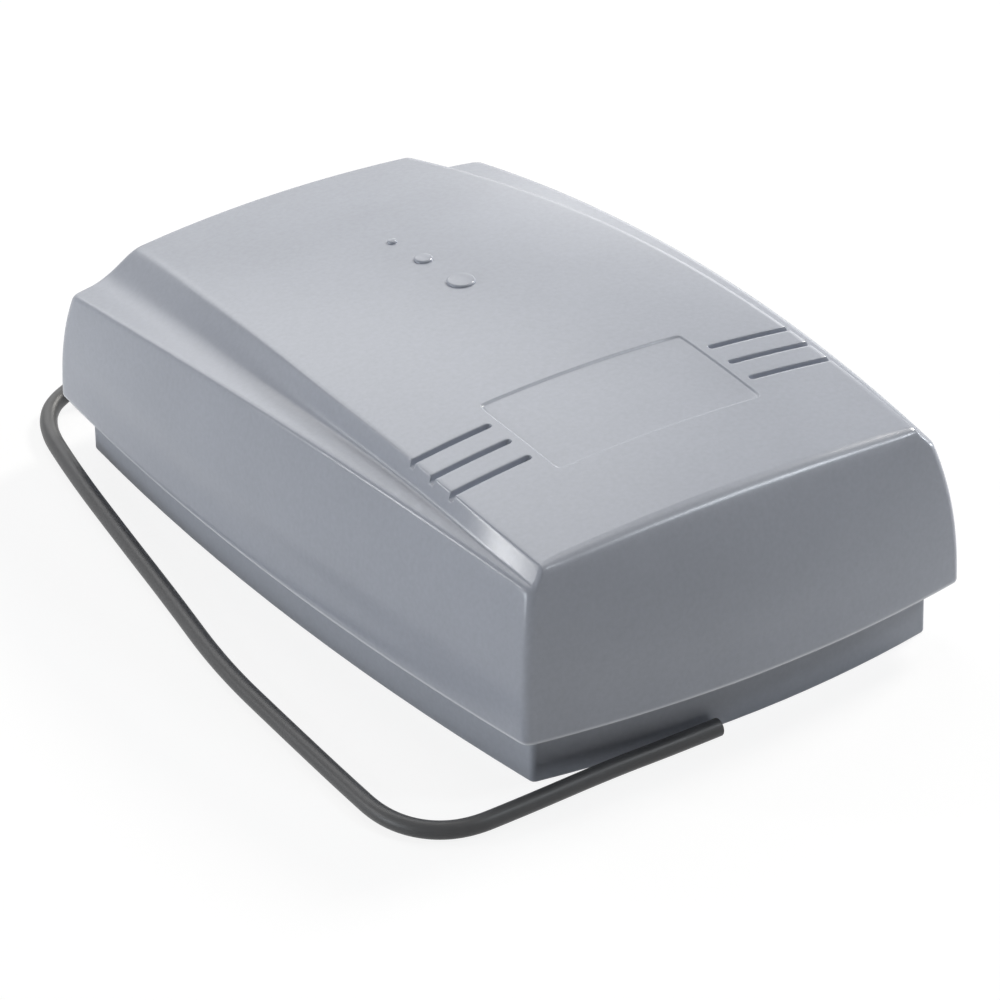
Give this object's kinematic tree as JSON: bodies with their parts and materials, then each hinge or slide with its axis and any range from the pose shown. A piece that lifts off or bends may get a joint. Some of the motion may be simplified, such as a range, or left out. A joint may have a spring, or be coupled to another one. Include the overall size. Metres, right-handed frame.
{
  "type": "radio receiver",
  "caption": "Wall radio receiver in a crowned blue-grey case: snap-off cover, base tray, relay board with screw terminals and a free antenna wire",
  "frame": {"origin": "centre of the case's underside, on the surface it is fixed to", "axes": "+Z out of the wall through the cover, +Y towards the end where the antenna and the cable leave, +X to the right when the cover is seen with +Y up"},
  "size_m": [0.0661, 0.0917, 0.0255],
  "materials": {
    "cover_plastic": "fine matt grain, blue-grey",
    "base_plastic": "matt, a little darker blue-grey",
    "black_rubber": "matt",
    "board_laminate": "glass fibre laminate under green lacquer",
    "zinc_steel": "bright zinc plating",
    "terminal_plastic": "moulded, slightly shiny",
    "tinned_brass": "tinned",
    "relay_plastic": "black, slightly shiny",
    "blue_epoxy": "dipped coating",
    "chip_plastic": "moulded epoxy",
    "black_plastic": "moulded",
    "header_plastic": "moulded, with gilt posts",
    "switch_plastic": "moulded",
    "button_plastic": "red moulded",
    "spring_steel": "bright",
    "led_epoxy": "clear tinted red",
    "capacitor_sleeve": "shrink sleeve",
    "resistor_coat": "lacquered ceramic",
    "diode_epoxy": "moulded epoxy",
    "ceramic_coat": "dipped ceramic",
    "can_metal": "drawn can",
    "shield_metal": "tinned can",
    "coil_ferrite": "ferrite pot and core",
    "wire_jacket": "soft dark grey insulation",
    "copper_strand": "bare copper strands"
  },
  "bodies": {
    "receiver": {"rear_base": "base_plastic", "cable_grommet": "black_rubber", "circuit_board": "board_laminate", "board_screws": "zinc_steel", "terminal_block": "terminal_plastic", "antenna_terminal": "terminal_plastic", "terminal_contacts": "tinned_brass", "relay_1": "relay_plastic", "relay_2": "relay_plastic", "surge_discs": "blue_epoxy", "microcontroller": "chip_plastic", "memory_socket": "black_plastic", "jumper_header": "header_plastic", "program_switch": "switch_plastic", "switch_dome": "spring_steel", "status_led": "led_epoxy", "buffer_capacitor": "capacitor_sleeve", "bridge_rectifier": "chip_plastic", "voltage_regulator": "chip_plastic", "resistors": "resistor_coat", "diodes": "diode_epoxy", "transistors": "chip_plastic", "ceramic_capacitors": "ceramic_coat", "crystal": "can_metal", "radio_board": "board_laminate", "radio_header": "header_plastic", "radio_shield": "shield_metal", "radio_coil": "coil_ferrite", "antenna_wire": "wire_jacket", "antenna_wire_tail": "wire_jacket", "antenna_conductor": "copper_strand"},
    "cover": {"front_cover": "cover_plastic"},
    "terminal_screw_1_body": {"terminal_screw_1": "zinc_steel"},
    "terminal_clamp_1_body": {"terminal_clamp_1": "tinned_brass"},
    "terminal_screw_2_body": {"terminal_screw_2": "zinc_steel"},
    "terminal_clamp_2_body": {"terminal_clamp_2": "tinned_brass"},
    "terminal_screw_3_body": {"terminal_screw_3": "zinc_steel"},
    "terminal_clamp_3_body": {"terminal_clamp_3": "tinned_brass"},
    "terminal_screw_4_body": {"terminal_screw_4": "zinc_steel"},
    "terminal_clamp_4_body": {"terminal_clamp_4": "tinned_brass"},
    "terminal_screw_5_body": {"terminal_screw_5": "zinc_steel"},
    "terminal_clamp_5_body": {"terminal_clamp_5": "tinned_brass"},
    "terminal_screw_6_body": {"terminal_screw_6": "zinc_steel"},
    "terminal_clamp_6_body": {"terminal_clamp_6": "tinned_brass"},
    "antenna_screw_1_body": {"antenna_screw_1": "zinc_steel"},
    "antenna_clamp_1_body": {"antenna_clamp_1": "tinned_brass"},
    "antenna_screw_2_body": {"antenna_screw_2": "zinc_steel"},
    "antenna_clamp_2_body": {"antenna_clamp_2": "tinned_brass"},
    "program_button_body": {"program_button": "button_plastic"},
    "jumper_cap_body": {"jumper_cap": "black_plastic"},
    "memory_chip_body": {"memory_chip": "chip_plastic"}
  },
  "joints": [
    {"name": "cover_lift", "type": "slide", "parent": "receiver", "child": "cover", "axis": [0, 0, 1], "range_m": [0, 0.03]},
    {"name": "terminal_screw_1_turn", "type": "hinge", "parent": "receiver", "child": "terminal_screw_1_body", "pos_m": [-0.00724, 0.02138, 0.0165], "axis": [0, 0, 1], "range_deg": [0, 1081]},
    {"name": "terminal_clamp_1_travel", "type": "slide", "parent": "receiver", "child": "terminal_clamp_1_body", "axis": [0, 0, -1], "range_m": [0, 0.0015]},
    {"name": "terminal_screw_2_turn", "type": "hinge", "parent": "receiver", "child": "terminal_screw_2_body", "pos_m": [-0.00216, 0.02138, 0.0165], "axis": [0, 0, 1], "range_deg": [0, 1081]},
    {"name": "terminal_clamp_2_travel", "type": "slide", "parent": "receiver", "child": "terminal_clamp_2_body", "axis": [0, 0, -1], "range_m": [0, 0.0015]},
    {"name": "terminal_screw_3_turn", "type": "hinge", "parent": "receiver", "child": "terminal_screw_3_body", "pos_m": [0.00292, 0.02138, 0.0165], "axis": [0, 0, 1], "range_deg": [0, 1081]},
    {"name": "terminal_clamp_3_travel", "type": "slide", "parent": "receiver", "child": "terminal_clamp_3_body", "axis": [0, 0, -1], "range_m": [0, 0.0015]},
    {"name": "terminal_screw_4_turn", "type": "hinge", "parent": "receiver", "child": "terminal_screw_4_body", "pos_m": [0.008, 0.02138, 0.0165], "axis": [0, 0, 1], "range_deg": [0, 1081]},
    {"name": "terminal_clamp_4_travel", "type": "slide", "parent": "receiver", "child": "terminal_clamp_4_body", "axis": [0, 0, -1], "range_m": [0, 0.0015]},
    {"name": "terminal_screw_5_turn", "type": "hinge", "parent": "receiver", "child": "terminal_screw_5_body", "pos_m": [0.01308, 0.02138, 0.0165], "axis": [0, 0, 1], "range_deg": [0, 1081]},
    {"name": "terminal_clamp_5_travel", "type": "slide", "parent": "receiver", "child": "terminal_clamp_5_body", "axis": [0, 0, -1], "range_m": [0, 0.0015]},
    {"name": "terminal_screw_6_turn", "type": "hinge", "parent": "receiver", "child": "terminal_screw_6_body", "pos_m": [0.01816, 0.02138, 0.0165], "axis": [0, 0, 1], "range_deg": [0, 1081]},
    {"name": "terminal_clamp_6_travel", "type": "slide", "parent": "receiver", "child": "terminal_clamp_6_body", "axis": [0, 0, -1], "range_m": [0, 0.0015]},
    {"name": "antenna_screw_1_turn", "type": "hinge", "parent": "receiver", "child": "antenna_screw_1_body", "pos_m": [-0.01808, 0.00558, 0.0165], "axis": [0, 0, 1], "range_deg": [0, 1081]},
    {"name": "antenna_clamp_1_travel", "type": "slide", "parent": "receiver", "child": "antenna_clamp_1_body", "axis": [0, 0, -1], "range_m": [0, 0.0015]},
    {"name": "antenna_screw_2_turn", "type": "hinge", "parent": "receiver", "child": "antenna_screw_2_body", "pos_m": [-0.013, 0.00558, 0.0165], "axis": [0, 0, 1], "range_deg": [0, 1081]},
    {"name": "antenna_clamp_2_travel", "type": "slide", "parent": "receiver", "child": "antenna_clamp_2_body", "axis": [0, 0, -1], "range_m": [0, 0.0015]},
    {"name": "program_button_press", "type": "slide", "parent": "receiver", "child": "program_button_body", "axis": [0, 0, -1], "range_m": [0, 0.00025], "stiffness_N_per_m": 6000, "deforming": ["switch_dome"]},
    {"name": "jumper_pull", "type": "slide", "parent": "receiver", "child": "jumper_cap_body", "axis": [0, 0, 1], "range_m": [0, 0.006]},
    {"name": "memory_pull", "type": "slide", "parent": "receiver", "child": "memory_chip_body", "axis": [0, 0, 1], "range_m": [0, 0.006]}
  ],
  "couplings": [
    {"joint": "terminal_screw_1_turn", "follows": "terminal_clamp_1_travel", "rad_per_m": 12566},
    {"joint": "terminal_screw_2_turn", "follows": "terminal_clamp_2_travel", "rad_per_m": 12566},
    {"joint": "terminal_screw_3_turn", "follows": "terminal_clamp_3_travel", "rad_per_m": 12566},
    {"joint": "terminal_screw_4_turn", "follows": "terminal_clamp_4_travel", "rad_per_m": 12566},
    {"joint": "terminal_screw_5_turn", "follows": "terminal_clamp_5_travel", "rad_per_m": 12566},
    {"joint": "terminal_screw_6_turn", "follows": "terminal_clamp_6_travel", "rad_per_m": 12566},
    {"joint": "antenna_screw_1_turn", "follows": "antenna_clamp_1_travel", "rad_per_m": 12566},
    {"joint": "antenna_screw_2_turn", "follows": "antenna_clamp_2_travel", "rad_per_m": 12566}
  ]
}
